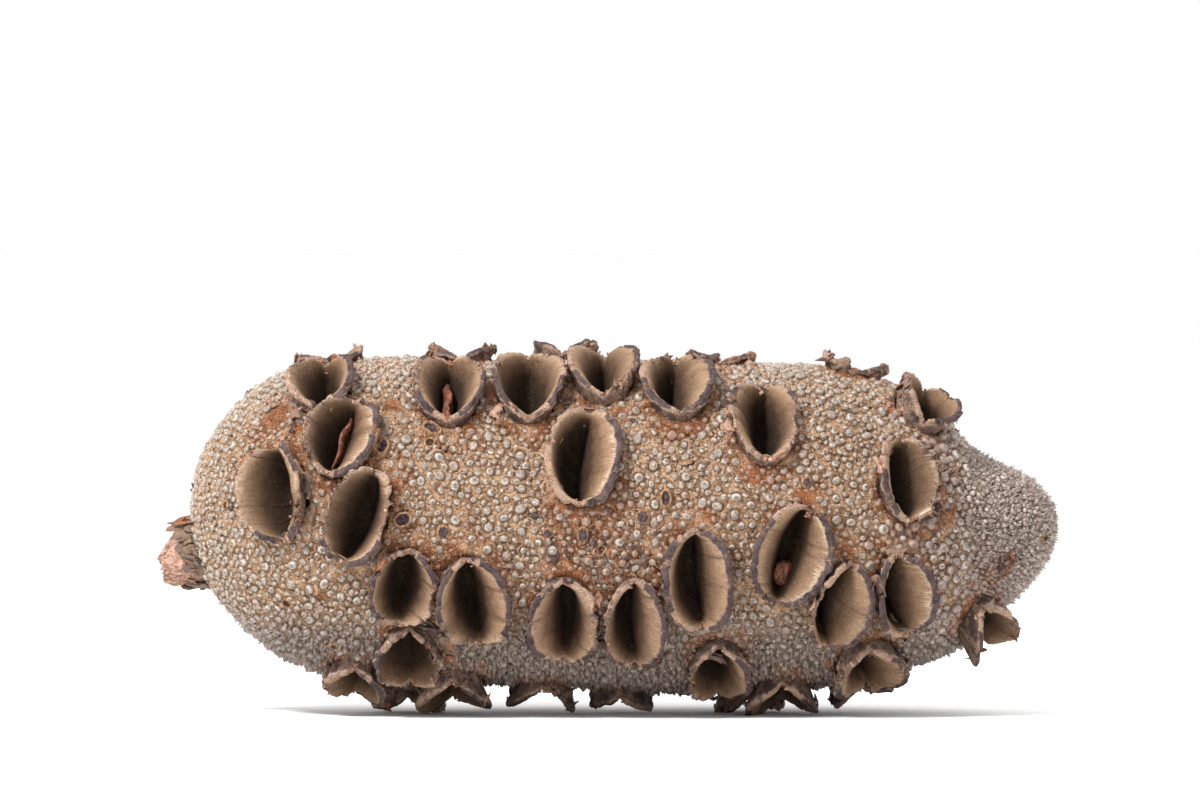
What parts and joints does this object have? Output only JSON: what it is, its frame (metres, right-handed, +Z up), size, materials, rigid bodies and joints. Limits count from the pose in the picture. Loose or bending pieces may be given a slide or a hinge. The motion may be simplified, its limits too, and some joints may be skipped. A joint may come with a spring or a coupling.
{
  "type": "banksia cone",
  "caption": "Dry woody banksia cone lying on its side, its spike covered in small round bract tips, with open follicles all round and a broken stalk.",
  "frame": {"origin": "middle of the cone's bounding box, on the surface that the cone rests on", "axes": "+X along the cone from its broken stalk to its nose, +Z up as it lies, -Y its near side"},
  "size_m": [0.1807, 0.0744, 0.0749],
  "materials": {
    "bracts": "matt, dry bract tips with felt between them",
    "stalk_wood": "matt, freshly broken fibres",
    "separator_wood": "matt, thin wood"
  },
  "bodies": {
    "root": {"cone": "bracts", "stalk": "stalk_wood", "seed_separator_1": "separator_wood", "seed_separator_2": "separator_wood", "seed_separator_3": "separator_wood"}
  },
  "joints": []
}
